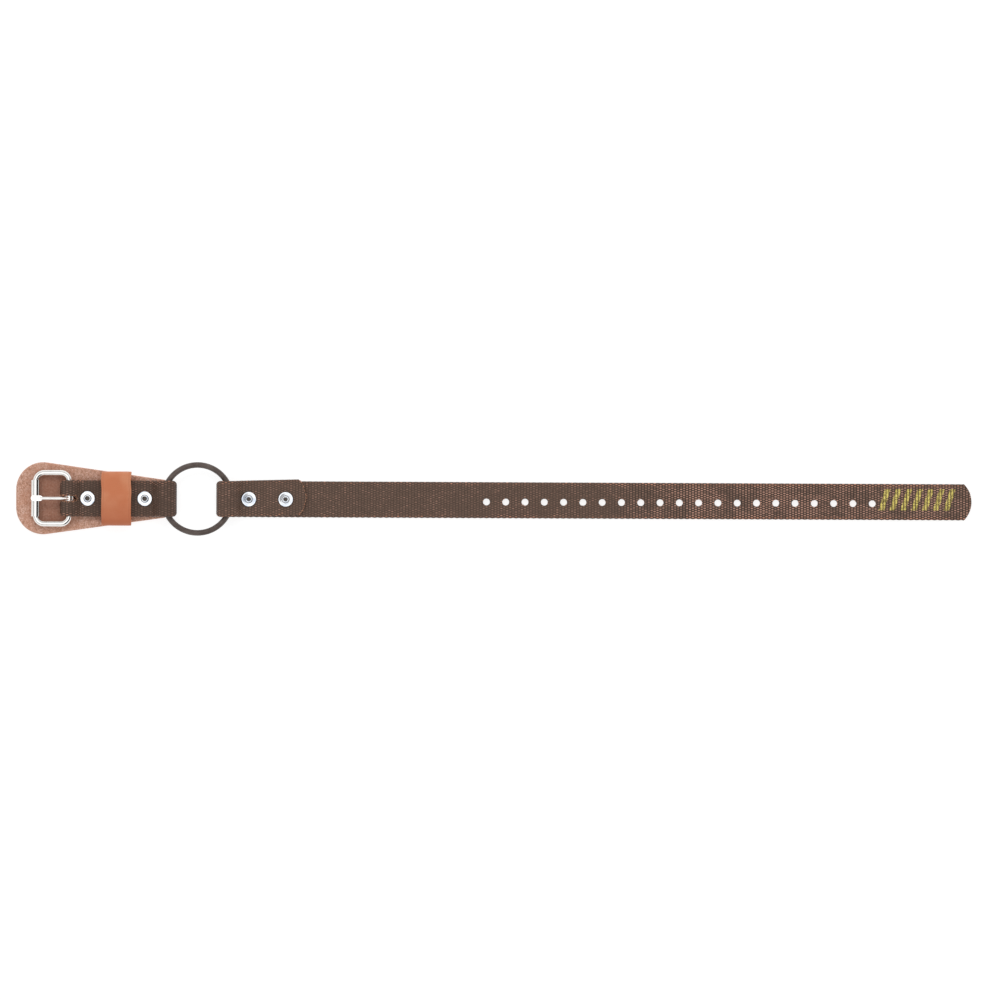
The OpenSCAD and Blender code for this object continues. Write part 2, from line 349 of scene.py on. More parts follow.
# takes the vertices inside each hole out of a flat sheet and draws the rim onto the hole's edge
def punch(bm, placeLayer, holes):
    for start, end, radius in holes:
        inside, rim = [], set()
        for vert in bm.verts:
            place = vert[placeLayer]
            if min(start.x, end.x) - 2 * radius < place.x < max(start.x, end.x) + 2 * radius:
                _, out = capsuleDistance(Vector(place.xy), start, end)
                if out.length < radius:
                    inside.append(vert)
        for vert in inside:
            for edge in vert.link_edges:
                rim.add(edge.other_vert(vert))
            for face in vert.link_faces:
                rim.update(face.verts)
        rim -= set(inside)
        for vert in rim:
            place = vert[placeLayer]
            nearest, out = capsuleDistance(Vector(place.xy), start, end)
            spot = nearest + out.normalized() * radius
            vert[placeLayer] = (spot.x, spot.y, place.z)
        bmesh.ops.delete(bm, geom=inside, context="VERTS")


fibre = {
    "seed": 11,
    "radius": 0.17 * mm,
    "taper": 0.45,
    "length": (0.9 * mm, 1.7 * mm),
    "sides": 4,
    "sunk": 0.1 * mm,         # how far the root is inside the cut
    "middle": 0.35,           # share of the length that the middle stands out by
    "endTurn": 0.75,          # reach round a round end, in radians each way
    "sideShare": 0.8,         # share of a slot's fibres that point across it
}


# cut fibres that stick out of the rims of holes and of cut ends, each a thin tapered rod
def growFibres(tufts, toSpace, half):
    rng = random.Random(fibre["seed"])
    bm = bmesh.new()
    for start, end, radius, count, spread in tufts:
        for _ in range(count):
            if end is None:                       # a round end
                turn = rng.uniform(-fibre["endTurn"], fibre["endTurn"])
                way = start.z
                out = Vector((-way * math.cos(turn), math.sin(turn)))
                root = Vector(start.xy) + out * (radius - fibre["sunk"])
                point = out * rng.uniform(-0.5, 0.5) + Vector((-out.y, out.x)) * rng.uniform(-1, 1)
            else:
                turn = rng.uniform(0, 2 * math.pi)
                out = Vector((math.cos(turn), math.sin(turn)))
                along = rng.random() if (end - start).length > tiny else 0.0
                if along and rng.random() < fibre["sideShare"]:
                    out = Vector((0, 1 if out.y > 0 else -1))
                root = start.lerp(end, along) + out * (radius + fibre["sunk"])
                point = -out * rng.uniform(-0.6, 0.9)
            point = point + Vector((rng.uniform(-1, 1), rng.uniform(-1, 1))) * 0.6 * spread
            depth = half * rng.uniform(0.6, 1.0) * rng.choice((-1, 1))
            base, first, second, outward = toSpace(root, depth)
            rise = math.copysign(rng.uniform(0.1, 0.5), depth)
            aim = (first * point.x + second * point.y + outward * rise).normalized()
            length = rng.uniform(*fibre["length"]) * spread
            made = bmesh.ops.create_cone(bm, cap_ends=True, segments=fibre["sides"], depth=length,
                                         radius1=fibre["radius"], radius2=fibre["radius"] * fibre["taper"])
            turnTo = aim.to_track_quat("Z", "Y").to_matrix()
            for vert in made["verts"]:
                vert.co = base + turnTo @ (vert.co + Vector((0, 0, length * fibre["middle"])))
    for face in bm.faces:
        face.material_index = 1
    mesh = bpy.data.meshes.new("fibres")
    bm.to_mesh(mesh)
    bm.free()
    return mesh


edgeLoss = 0.82               # how much of its thickness a ribbon's rounded edge loses
creaseAngle = math.radians(52)                # sharper edges than this are shaded sharp


# a strip laid along a path, with both faces, its edges and the walls of its holes;
# relief(along, across, face) is how far a face stands in from its full thickness
def makeRibbon(name, path, width, thickness, cells, holes=(), ends=None, relief=None, drift=None,
               rounding=1.0 * mm, axes="XZY", tufts=(), folds=()):
    bm = bmesh.new()
    bmesh.ops.create_grid(bm, x_segments=cells[0], y_segments=cells[1], size=0.5)
    bm.verts.layers.float_vector.new("webPlace")
    foldMaskLayer = bm.verts.layers.float.new("webFoldShadeMask")
    placeLayer = bm.verts.layers.float_vector["webPlace"]      # looked up last, as a new layer moves it
    woven = cells[0] * weave["pitch"] / 2 / path["length"]     # fits a whole number of threads to the path
    for vert in bm.verts:
        across = vert.co.y * width
        along = (vert.co.x + 0.5) * path["length"]
        if ends:
            along = ends(along, across)
        vert[placeLayer] = (along, across, 1.0)
    punch(bm, placeLayer, holes)
    made = bmesh.ops.extrude_face_region(bm, geom=bm.faces[:], use_keep_orig=True)
    for vert in (g for g in made["geom"] if isinstance(g, bmesh.types.BMVert)):
        along, across, _ = vert[placeLayer]
        vert[placeLayer] = (along, across, -1.0)
    verts = bm.verts[:]
    places = np.array([v[placeLayer] for v in verts])
    along, across, face = places.T
    spot, out = atPath(path, along)
    inward = np.clip((np.abs(across) - (width / 2 - rounding)) / rounding, 0, 1)
    half = thickness / 2 * np.sqrt(1 - edgeLoss * inward ** 2)
    sunk = relief(along * woven, across, face) if relief is not None else 0.0
    stand = face * (half - sunk)
    first, second = spot[0] + out[0] * stand, spot[1] + out[1] * stand
    third = across if drift is None else drift(along * woven, across, face)
    # nearness to a fold, kept for the painted shade along the folds
    edge = np.zeros(len(along))
    for foldX in folds:
        inward = np.clip(1 - np.abs(spot[0] - foldX) / weave["corner"], 0, 1)
        third = third * (1 - weave["corner"] * (1 - np.sqrt(1 - inward ** 2)) / (width / 2))
        edge = np.maximum(edge, inward)
    order = {"XZY": (first, third, second), "YZX": (third, first, second)}[axes]
    for vert, co, dark in zip(verts, np.stack(order, 1), edge):
        vert.co = co
        vert[placeLayer].x *= woven
        vert[foldMaskLayer] = dark
    bmesh.ops.recalc_face_normals(bm, faces=bm.faces[:])

    # a place on the flat sheet, laid on the path, and the directions there
    def toSpace(root, depth):
        at, normal = atPath(path, root.x)
        ahead, _ = atPath(path, root.x + 0.3 * mm)
        y = root.y + (0.0 if drift is None else float(drift(root.x, 0.0, 1.0)))
        outward = Vector((normal[0], 0, normal[1]))
        first = Vector((ahead[0] - at[0], 0, ahead[1] - at[1]))
        if first.length < tiny:
            first = outward.cross(Vector((0, 1, 0)))
        return Vector((at[0], y, at[1])) + outward * depth, first.normalized(), Vector((0, 1, 0)), outward

    if tufts:
        fibres = growFibres(tufts, toSpace, thickness / 2)
        bm.from_mesh(fibres)
        bpy.data.meshes.remove(fibres)
    mesh = bpy.data.meshes.new(name)
    bm.to_mesh(mesh)
    bm.free()
    mesh.shade_smooth()
    mesh.set_sharp_from_angle(angle=creaseAngle)
    piece = bpy.data.objects.new(name, mesh)
    bpy.context.scene.collection.objects.link(piece)
    return piece


# yarn crowns of the plain weave; a crown on one face is a dip on the other
def weaveRelief(along, across, face):
    place = across / weave["yarn"] + weave["yarns"] / 2
    yarn = np.clip(np.floor(place), 0, weave["yarns"] - 1)
    profile = np.sin(np.pi * np.clip(place - yarn, 0, 1))
    over = np.cos(np.pi * (along / weave["pitch"] + yarn)) * np.where(face >= 0, 1, -1)
    return weave["relief"] * (1 - over * profile)


selvageWave = (0.04 * mm, 0.15 * mm)      # on the +Y and the -Y side


# the outermost yarns wave in and out as they go over and under
def selvageDrift(along, across, face):
    yarn = np.where(across > 0, weave["yarns"] - 1, 0)
    wave = np.cos(np.pi * (along / weave["pitch"] + yarn))
    edge = np.clip((np.abs(across) - webWidth / 2 + weave["yarn"]) / weave["yarn"], 0, 1)
    return across + np.sign(across) * edge * (wave - 1) * np.where(across > 0, *selvageWave)


def fitPlace(piece, body, node, slotName, *materials):
    for material in materials:
        piece.data.materials.append(material)
    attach(piece, body)
    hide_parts(node)
    return piece


# colours, wear and painted shade of both pieces of webbing
webLook = {
    "coating": rgb(83, 64, 53),
    "coatingPale": rgb(110, 87, 74),
    "groove": rgb(42, 30, 23),
    "worn": rgb(190, 144, 126),
    "selvage": rgb(196, 136, 110),
    "cut": rgb(212, 160, 128),
    "paint": rgb(236, 218, 118),
    "paintThin": rgb(146, 130, 62),
    "wornFrom": (55 * mm, 150 * mm),     # the coating is worn more towards the tip
    "wearShare": (0.26, 1.05),
    "newWear": 0.85,                     # wear left on the short strap
    "newShade": 0.22,                    # and how much darker it is
    # painted shade along the folds
    "foldShadeDepth": 0.75,
    "washerShade": (1.1 * mm, 0.85),     # painted shade round each washer: width and depth
    "holeDarkRim": (0.8 * mm, 0.6),
    "fray": 0.7,
}
# slanted painted bars near the tip
paintBars = {
    "from": 269.2 * mm,
    "to": 322.2 * mm,
    "low": -5.8 * mm,
    "high": 9.1 * mm,
    "pitch": 7.57 * mm,
    "duty": 0.5,                         # painted share of the pitch
    "slant": 0.3,                        # run for each unit of height
}


# a soft dark ring around a hole or a washer, or around each of a row of them
def darkRing(tree, place, centre, inner, darkening, repeat=None):
    width, depth = darkening
    x = minus(tree, place["X"], centre[0])
    if repeat:
        pitch, count = repeat
        index = mathNode(tree, "MAXIMUM", mathNode(tree, "ROUND", divided(tree, x, pitch)), 0.0)
        index = mathNode(tree, "MINIMUM", index, count - 1.0)
        x = minus(tree, x, times(tree, index, pitch))
    y = minus(tree, place["Y"], centre[1])
    radius = mathNode(tree, "SQRT", plus(tree, times(tree, x, x), times(tree, y, y)))
    return rampNode(tree, radius, inner, inner + width, depth, 0.0)


# how much of the painted bars shows: none off them, little in the gaps of the weave
def paintMask(tree, place, face, crown, column, fine):
    x, y = place["X"], place["Y"]
    slanted = minus(tree, x, times(tree, y, paintBars["slant"]))
    fromFirst = minus(tree, slanted, paintBars["from"])
    cycle = mathNode(tree, "FRACT", divided(tree, fromFirst, paintBars["pitch"]))
    paint = mathNode(tree, "LESS_THAN", absolute(tree, minus(tree, cycle, 0.5)), paintBars["duty"] / 2)
    limits = (("GREATER_THAN", slanted, paintBars["from"]), ("LESS_THAN", slanted, paintBars["to"]),
              ("GREATER_THAN", y, paintBars["low"]), ("LESS_THAN", y, paintBars["high"]),
              ("LESS_THAN", face, -0.9))
    for limit in limits:
        paint = times(tree, paint, mathNode(tree, *limit))
    thin = plus(tree, times(tree, column, 0.7), times(tree, fine, 0.8))
    thin = plus(tree, thin, times(tree, crown, 0.3))
    return times(tree, paint, rampNode(tree, thin, 0.62, 1.15, 0.1, 0.95))


def webbingMaterial(name, rivets, long):
    material, tree, shader = newMaterial(name, {"Specular IOR Level": 0.3})
    along, across, face = split(tree, attributeNode(tree, "webPlace")["Vector"])
    crown, column, height, cell = useGroup(tree, plainWeave, Along=along, Across=across, Face=face)
    position = objectPlace(tree)
    broad, middle, fine = useGroup(tree, mottle, Vector=position, Scale=1.0)
    place = split(tree, position)
    # wear: more towards the tip, at the selvages and in patches
    towardsTip = rampNode(tree, place["X"], *webLook["wornFrom"], *webLook["wearShare"])
    reach = absolute(tree, across)
    selvage = rampNode(tree, reach, webWidth * 0.38, webWidth * 0.46)
    wear = plus(tree, towardsTip, times(tree, selvage, 0.3))
    wear = times(tree, wear, rampNode(tree, broad, 0.35, 0.65, 0.4, 1.3))
    contrast = rampNode(tree, towardsTip, 0.2, 1.0, 2.6, 1.0)
    uneven = rampNode(tree, mathNode(tree, "POWER", cell, contrast), 0.0, 1.0, 0.3, 1.9, "LINEAR")
    bare = times(tree, crown, times(tree, wear, uneven), clamp=True)
    coat = mixColour(tree, rampNode(tree, fine, 0.3, 0.7), webLook["coating"], webLook["coatingPale"])
    if not long:
        bare = times(tree, bare, webLook["newWear"])
        coat = mixColour(tree, webLook["newShade"], coat, webLook["groove"])
    # dark: the gaps and dips of the weave, coating and painted shade; painted shade at the folds and round the
    # washers; a darker rim round each hole
    # painted shade and coating in the gaps between columns of crowns
    gaps = rampNode(tree, column, 0.0, 1.0, 0.8, 0.0)
    gaps = times(tree, gaps, rampNode(tree, towardsTip, 0.2, 0.9, 0.6, 1.15))
    # darker where the weave dips: coating and painted shade
    shadeAndRims = [rampNode(tree, height, 0.1, -0.6, 0.0, 0.5)]
    # painted shade along the folds of the web
    shadeAndRims.append(rampNode(tree, attributeNode(tree, "webFoldShadeMask")["Fac"], 0.3, 1.0, 0.0, webLook["foldShadeDepth"]))
    # painted shade round each washer
    shadeAndRims += [darkRing(tree, place, (x, 0), washerRadius, webLook["washerShade"]) for x in rivets]
    # a darker rim round each punched hole
    if long:
        row = (strapHoles[1] - strapHoles[0], len(strapHoles))
        shadeAndRims.append(darkRing(tree, place, (strapHoles[0], holeY), holeRadius, webLook["holeDarkRim"], row))
    dark = gaps
    for darkening in shadeAndRims:
        dark = mathNode(tree, "MAXIMUM", dark, darkening)
    colour = mixColour(tree, dark, coat, webLook["groove"])
    colour = mixColour(tree, bare, colour, mixColour(tree, selvage, webLook["worn"], webLook["selvage"]))
    # cut edges show their fibres
    cut = rampNode(tree, absolute(tree, face), 0.2, 0.98, 1.0, 0.0)
    notSelvage = rampNode(tree, reach, webWidth * 0.488, webWidth * 0.495, 1.0, 0.0)
    fray = times(tree, times(tree, cut, notSelvage), rampNode(tree, middle, 0.42, 0.55))
    colour = mixColour(tree, times(tree, fray, webLook["fray"]), colour, webLook["cut"])
    if long:
        spots = rampNode(tree, plus(tree, fine, times(tree, cell, 0.25)), 0.48, 0.76)
        yellow = mixColour(tree, spots, webLook["paintThin"], webLook["paint"])
        colour = mixColour(tree, paintMask(tree, place, face, crown, column, fine), colour, yellow)
    tree.links.new(colour, shader.inputs["Base Color"])
    tree.links.new(rampNode(tree, bare, 0.0, 1.0, 0.55, 0.8), shader.inputs["Roughness"])
    heights = plus(tree, height, times(tree, fine, 0.4))
    tree.links.new(bumpNode(tree, heights, 0.6, 0.10 * mm), shader.inputs["Normal"])
    return material


def fibreMaterial():
    material, tree, shader = newMaterial("cut fibres", {"Roughness": 0.75, "Specular IOR Level": 0.3})
    patches = useGroup(tree, mottle, Vector=objectPlace(tree), Scale=1.0)
    share = rampNode(tree, patches["Middle"], 0.4, 0.6)
    colour = mixColour(tree, share, webLook["cut"], webLook["selvage"])
    tree.links.new(colour, shader.inputs["Base Color"])
    return material


cutFibres = fibreMaterial()


# the long strap: tab on top, round the ring and out to its punched tip
longStrap = {
    "stepAlong": weave["pitch"] / 2,
    "tabReach": 75.8 * mm,    # from the ring's centre to the tab's end
    "tabTurn": 1.5 * mm,      # how far that end is riveted on askew
    "endRadius": 18 * mm,
    "endZone": 26 * mm,       # how far in the grid is squeezed to make a round end
    "holeFibres": (12, 0.5),  # how many, and how long
    "tabFibres": (56, 0.8),
    "tipFibres": (16, 0.6),
    "soften": 50,             # passes that round the creases of the path
}


def longStrapPiece():
    pivot = pivots["ring_swing"]
    low, high = boxes["long_strap"]
    lower = low.z + webThickness / 2
    upper = lower + webThickness
    room = pivot.z - (low.z + webThickness)
    tabEnd = ringCentre.x + longStrap["tabReach"]
    loop = loopPath(pivot, room, low.x, rivetX[2] - washerRadius, -1)
    path = evenPath([(tabEnd, upper)] + loop + [(high.x, lower)], soften=longStrap["soften"])
    total = path["length"]
    flat = total - (high.x - pivot.x)            # along the path, the lower ply passes below the pivot here

    def toAlong(x):
        return flat + (x - pivot.x)

    # the grid is squeezed into the punched round ends
    def ends(along, across):
        sagitta = longStrap["endRadius"] - math.sqrt(longStrap["endRadius"] ** 2 - across ** 2)
        zone = longStrap["endZone"]
        if along < zone:
            return zone - (zone - along) * (zone - sagitta) / zone
        if along > total - zone:
            return total - zone + (along - total + zone) * (zone - sagitta) / zone
        return along

    def tabTurn(along):
        return longStrap["tabTurn"] * np.clip(1 - along / (tabEnd - pivot.x), 0, 1)

    # selvage, and the tab riveted on a little askew
    def drift(along, across, face):
        return selvageDrift(along, across, face) + tabTurn(along)

    # middle of a round end's arc, and which way it faces
    def endArc(at, way):
        return Vector((at + way * longStrap["endRadius"], 0, way))

    holes = [(Vector((toAlong(x), holeY)), Vector((toAlong(x), holeY)), holeRadius) for x in strapHoles]
    for x in rivetX[2:]:
        for along in (tabEnd - x, toAlong(x)):
            centre = Vector((along, -float(tabTurn(along))))
            holes.append((centre, centre, shankRadius))
    cells = (int(total / longStrap["stepAlong"]), 2 * weave["yarns"])
    tufts = [(*hole, *longStrap["holeFibres"]) for hole in holes[:len(strapHoles)]]
    tufts.append((endArc(0, 1), None, longStrap["endRadius"], *longStrap["tabFibres"]))
    tufts.append((endArc(total, -1), None, longStrap["endRadius"], *longStrap["tipFibres"]))
    piece = makeRibbon("longStrapWeb", path, webWidth, webThickness, cells, holes, ends, weaveRelief, drift,
                       tufts=tufts, folds=[path["line"][:, 0].min()])
    finish = webbingMaterial("worn coated webbing", rivetX[2:], True)
    return fitPlace(piece, "long_strap", "long_strap", "webbing", finish, cutFibres)


longStrapPiece()
print("long strap woven")

# the buckle strap: both tails turned back below, one loop on the buckle's bar and one on the ring
buckleStrap = {
    "stepAlong": weave["pitch"] / 2,
    "slotWidth": 4.2 * mm,
    "slotRun": 6 * mm,        # how far the tongue's slot runs past the bar
    "tailGap": 27.3 * mm,     # room for the keeper between the two tails
    "slotFibres": (190, 0.9),
    "plyWeight": 50,          # counts against the wrong ply when a rivet's place on the path is looked for
    "soften": 50,
}


def buckleStrapPiece():
    bar, ring = pivots["buckle_lift"], pivots["buckle_strap_swing"]
    low, high = boxes["buckle_strap"]
    lower = padTop + webThickness / 2
    keeperX = (boxes["keeper_loop"][0].x + boxes["keeper_loop"][1].x) / 2
    barRoom = bar.z - padTop - webThickness
    ringRoom = ring.z - padTop - webThickness
    barLoop = loopPath(bar, barRoom, low.x, rivetX[0] - washerRadius, -1)
    ringLoop = loopPath(ring, ringRoom, high.x, rivetX[1] + washerRadius, 1)
    tailLeft = keeperX - buckleStrap["tailGap"] / 2
    tailRight = keeperX + buckleStrap["tailGap"] / 2
    points = [(tailLeft, lower)] + barLoop[::-1] + ringLoop + [(tailRight, lower)]
    path = evenPath(points, soften=buckleStrap["soften"])
    # the tongue's slot runs over the fold, so it is measured along the path
    slotRadius = buckleStrap["slotWidth"] / 2
    slotEnd = bar.x + buckleStrap["slotRun"] - slotRadius
    startLow = tailLeft - slotEnd
    topZ = lower + webThickness
    line = path["line"]
    upperSide = (line[:, 0] > slotEnd) & (line[:, 1] > bar.z) & (path["dist"] < path["length"] / 2)
    startHigh = path["dist"][np.argmax(upperSide)]
    slot = (Vector((startLow, 0)), Vector((startHigh, 0)), slotRadius)
    holes = [slot]
    for x in rivetX[:2]:
        sameX = np.abs(line[:, 0] - x)
        for ply in (lower, topZ):
            along = path["dist"][np.argmin(sameX + buckleStrap["plyWeight"] * np.abs(line[:, 1] - ply))]
            holes.append((Vector((along, 0)), Vector((along, 0)), shankRadius))
    cells = (int(path["length"] / buckleStrap["stepAlong"]), 2 * weave["yarns"])
    piece = makeRibbon("buckleStrapWeb", path, webWidth, webThickness, cells, holes, None, weaveRelief,
                       selvageDrift, tufts=[(*slot, *buckleStrap["slotFibres"])],
                       folds=[line[:, 0].min(), line[:, 0].max()])
    finish = webbingMaterial("coated webbing", rivetX[:2], False)
    return fitPlace(piece, "buckle_strap", "buckle_strap", "webbing", finish, cutFibres)


buckleStrapPiece()
print("buckle strap woven")

# the leather pad
pad = {
    "cornerRadius": 19 * mm,
    "cornerOff": 6.2 * mm,       # half of the flat across the wide end
    "narrowHalf": 13.2 * mm,
    "cells": (190, 84),
    "crowd": 1.35,               # cells lie closer together at the wide end
    "rounding": 0.9 * mm,
    "edgeLoss": 0.75,            # how much of its thickness the rounded edge loses
    "rise": 0.22 * mm,           # relief of the rough side
    "nap": ((420, 1.0), (1100, 0.6)),      # scale and share of each layer of it
    "crease": math.radians(60),  # sharper edges than this are shaded sharp
    "body": rgb(203, 158, 137),
    "pale": rgb(236, 204, 190),
    "dark": rgb(146, 98, 76),
    "edge": rgb(172, 114, 88),
    "grain": rgb(192, 134, 106),
    # painted shadow of the buckle, and darker leather
    "shadeAndDarkLeather": rgb(150, 102, 82),
    "shadeAndDarkShare": 0.72,        # under the buckle
    "shadeAndDarkSoft": 3 * mm,
}


def padMaterial():
    material, tree, shader = newMaterial("rough tan leather", {
        "Specular IOR Level": 0.2,
        "Sheen Weight": 0.25,
        "Sheen Roughness": 0.5,
        "Sheen Tint": (1.0, 0.86, 0.78, 1.0),
    })
    position = objectPlace(tree)
    patches = useGroup(tree, mottle, Vector=position, Scale=1.15)
    nap = noiseNode(tree, position, 1300.0, 5.0, 0.7, 0.3)
    face = split(tree, attributeNode(tree, "webPlace")["Vector"])["Z"]
    colour = mixColour(tree, rampNode(tree, nap, 0.50, 0.66), pad["body"], pad["pale"])
    tones = (
        (rampNode(tree, nap, 0.50, 0.34, 0.0, 0.85), "dark"),
        (rampNode(tree, patches["Middle"], 0.48, 0.70, 0.0, 0.5), "dark"),
        (rampNode(tree, patches["Broad"], 0.40, 0.62, 0.0, 0.35), "grain"),
    )
    for share, tone in tones:
        colour = mixColour(tree, share, colour, pad[tone])
    # inside the buckle's outline: painted shadow of the buckle and strap, and darker leather
    place = split(tree, position)
    low, high = boxes["buckle_frame"]
    halfX, halfY = (high.x - low.x) / 2, (high.y - low.y) / 2
    offX = absolute(tree, minus(tree, place["X"], (low.x + high.x) / 2))
    inX = rampNode(tree, offX, halfX - pad["shadeAndDarkSoft"], halfX, 1.0, 0.0)
    inY = rampNode(tree, absolute(tree, place["Y"]), halfY - pad["shadeAndDarkSoft"], halfY, 1.0, 0.0)
    shadeAndDarkLeather = times(tree, times(tree, inX, inY), pad["shadeAndDarkShare"])
    colour = mixColour(tree, shadeAndDarkLeather, colour, pad["shadeAndDarkLeather"])
    cut = rampNode(tree, absolute(tree, face), 0.3, 0.98, 1.0, 0.0)
    colour = mixColour(tree, times(tree, cut, 0.8), colour, pad["edge"])
    # the underside is smooth
    under = rampNode(tree, face, -0.95, -0.9, 1.0, 0.0)
    smooth = mixColour(tree, rampNode(tree, patches["Middle"], 0.3, 0.7), pad["grain"], pad["edge"])
    tree.links.new(mixColour(tree, under, colour, smooth), shader.inputs["Base Color"])
    tree.links.new(rampNode(tree, under, 0.0, 1.0, 0.92, 0.5), shader.inputs["Roughness"])
    heights = plus(tree, nap, times(tree, patches["Middle"], 0.6))
    heights = times(tree, heights, rampNode(tree, under, 0.0, 1.0, 1.0, 0.15))
    tree.links.new(bumpNode(tree, heights, 0.8, 0.35 * mm), shader.inputs["Normal"])
    return material


def padPiece():
    low, high = boxes["leather_pad"]
    thickness = high.z - low.z
    corner = Vector((low.x + pad["cornerRadius"], pad["cornerOff"]))
    line = Vector((high.x, pad["narrowHalf"])) - corner
    turn = math.acos(pad["cornerRadius"] / line.length) + math.atan2(line.y, line.x)
    touch = corner + pad["cornerRadius"] * Vector((math.cos(turn), math.sin(turn)))

    def halfWidth(x):
        if x < touch.x:
            return corner.y + math.sqrt(max(pad["cornerRadius"] ** 2 - (x - corner.x) ** 2, 0))
        return touch.y + (pad["narrowHalf"] - touch.y) * (x - touch.x) / (high.x - touch.x)

    bm = bmesh.new()
    bmesh.ops.create_grid(bm, x_segments=pad["cells"][0], y_segments=pad["cells"][1], size=0.5)
    placeLayer = bm.verts.layers.float_vector.new("webPlace")
    for vert in bm.verts:
        x = low.x + (high.x - low.x) * (vert.co.x + 0.5) ** pad["crowd"]
        y = vert.co.y * 2 * halfWidth(x)
        vert[placeLayer] = (x, y, 1.0)
    holes = [(Vector((x, 0)), Vector((x, 0)), shankRadius) for x in rivetX[:2]]
    punch(bm, placeLayer, holes)
    made = bmesh.ops.extrude_face_region(bm, geom=bm.faces[:], use_keep_orig=True)
    for vert in (g for g in made["geom"] if isinstance(g, bmesh.types.BMVert)):
        x, y, _ = vert[placeLayer]
        vert[placeLayer] = (x, y, -1.0)
    middle = (low.z + high.z) / 2
    for vert in bm.verts:
        x, y, face = vert[placeLayer]
        reach = min(halfWidth(x) - abs(y), high.x - x)
        if x < corner.x:                          # distance in from the round corners and the end
            out = Vector((corner.x - x, max(abs(y) - corner.y, 0)))
            reach = min(reach, pad["cornerRadius"] - out.length)
        inward = min(max(1 - max(reach, 0) / pad["rounding"], 0), 1)
        half = thickness / 2 * math.sqrt(1 - pad["edgeLoss"] * inward ** 2)
        spot = Vector((x, y, face))
        rough = sum(share * noise.noise(spot * scale) for scale, share in pad["nap"])
        sunk = pad["rise"] * (0.5 - 0.5 * rough) if face > 0 else 0.0
        vert.co = (x, y, middle + face * half - face * sunk)
    bmesh.ops.recalc_face_normals(bm, faces=bm.faces[:])
    mesh = bpy.data.meshes.new("ankleLeatherPad")
    bm.to_mesh(mesh)
    bm.free()
    mesh.shade_smooth()
    mesh.set_sharp_from_angle(angle=pad["crease"])
    piece = bpy.data.objects.new("ankleLeatherPad", mesh)
    bpy.context.scene.collection.objects.link(piece)
    return fitPlace(piece, "buckle_strap", "leather_pad", "pad_leather", padMaterial())


padPiece()
print("pad cut")

# the keeper loop, one strip whose ends butt together underneath
keeper = {
    "thickness": 2 * mm,
    "upper": 5.2 * mm,           # outer radius of the two corners above
    "lower": 2.6 * mm,           # and of the two below
    "butt": 0.15 * mm,           # half of the gap between its ends
    "narrower": 0.6 * mm,        # room for the wander of its edges
    "waves": ((0.14 * mm, 2, 0.6), (0.08 * mm, 3, 2)),     # swing, waves in a turn, start
    "rounding": 0.55 * mm,
    "cells": (190, 60),
    "crease": 1.4 * mm,          # pressed line, from each edge of the loop
    "creaseWidth": 0.22 * mm,
    "creaseDepth": 0.10 * mm,
    "body": rgb(196, 117, 79),
    "pale": rgb(203, 132, 95),
    "deep": rgb(176, 98, 64),
    "burnish": rgb(160, 90, 62),
    "cut": rgb(228, 186, 158),
    "shade": (-17 * mm, 8 * mm), # darkens towards -Y between these
}


def keeperMaterial(halfWidth):
    material, tree, shader = newMaterial("smooth russet leather", {"Specular IOR Level": 0.35})
    position = objectPlace(tree)
    patches = useGroup(tree, mottle, Vector=position, Scale=0.8)
    place = split(tree, attributeNode(tree, "webPlace")["Vector"])
    colour = mixColour(tree, rampNode(tree, patches["Broad"], 0.4, 0.65), keeper["body"], keeper["pale"])
    crease = absolute(tree, minus(tree, absolute(tree, place["Y"]), halfWidth - keeper["crease"]))
    tones = (
        (rampNode(tree, split(tree, position)["Y"], *keeper["shade"], 0.75, 0.0), "deep"),
        (rampNode(tree, patches["Fine"], 0.52, 0.72, 0.0, 0.3), "deep"),
        (rampNode(tree, crease, 0.1 * mm, 0.45 * mm, 0.3, 0.0), "burnish"),
        (rampNode(tree, absolute(tree, place["Z"]), 0.35, 0.98, 1.0, 0.0), "cut"),
    )
    for share, tone in tones:
        colour = mixColour(tree, share, colour, keeper[tone])
    tree.links.new(colour, shader.inputs["Base Color"])
    tree.links.new(rampNode(tree, patches["Middle"], 0.3, 0.7, 0.42, 0.58), shader.inputs["Roughness"])
    heights = plus(tree, times(tree, patches["Fine"], 0.5), patches["Middle"])
    tree.links.new(bumpNode(tree, heights, 0.22, 0.2 * mm), shader.inputs["Normal"])
    return material


def keeperPiece():
    low, high = boxes["keeper_loop"]
    thickness = keeper["thickness"]
    inset = thickness / 2
    half = (high.y - low.y) / 2 - inset
    bottom, top = low.z + inset, high.z - inset
    upper, lower = keeper["upper"] - inset, keeper["lower"] - inset
    right = [(keeper["butt"], bottom)]
    right += arcPoints((half - lower, bottom + lower), lower, -90, 0, 10)
    right += arcPoints((half - upper, top - upper), upper, 0, 90, 5)
    right += [(0, top)]
    left = [(-y, z) for y, z in right[::-1]][1:]
    path = evenPath(right + left, soften=3)
    width = high.x - low.x
    centreX = (low.x + high.x) / 2

    def relief(along, across, face):
        groove = np.exp(-((np.abs(across) - width / 2 + keeper["crease"]) / keeper["creaseWidth"]) ** 2)
        return groove * keeper["creaseDepth"] * (face > 0)

    def drift(along, across, face):
        turn = along / path["length"] * 2 * np.pi
        wander = sum(swing * np.sin(count * turn + start) for swing, count, start in keeper["waves"])
        return centreX + across + wander

    cutWidth = width - keeper["narrower"]
    piece = makeRibbon("keeperLeather", path, cutWidth, thickness, keeper["cells"], (), None, relief, drift,
                       keeper["rounding"], "YZX")
    return fitPlace(piece, "keeper", "keeper_loop", "keeper_leather", keeperMaterial(cutWidth / 2))


keeperPiece()
print("keeper shaped")

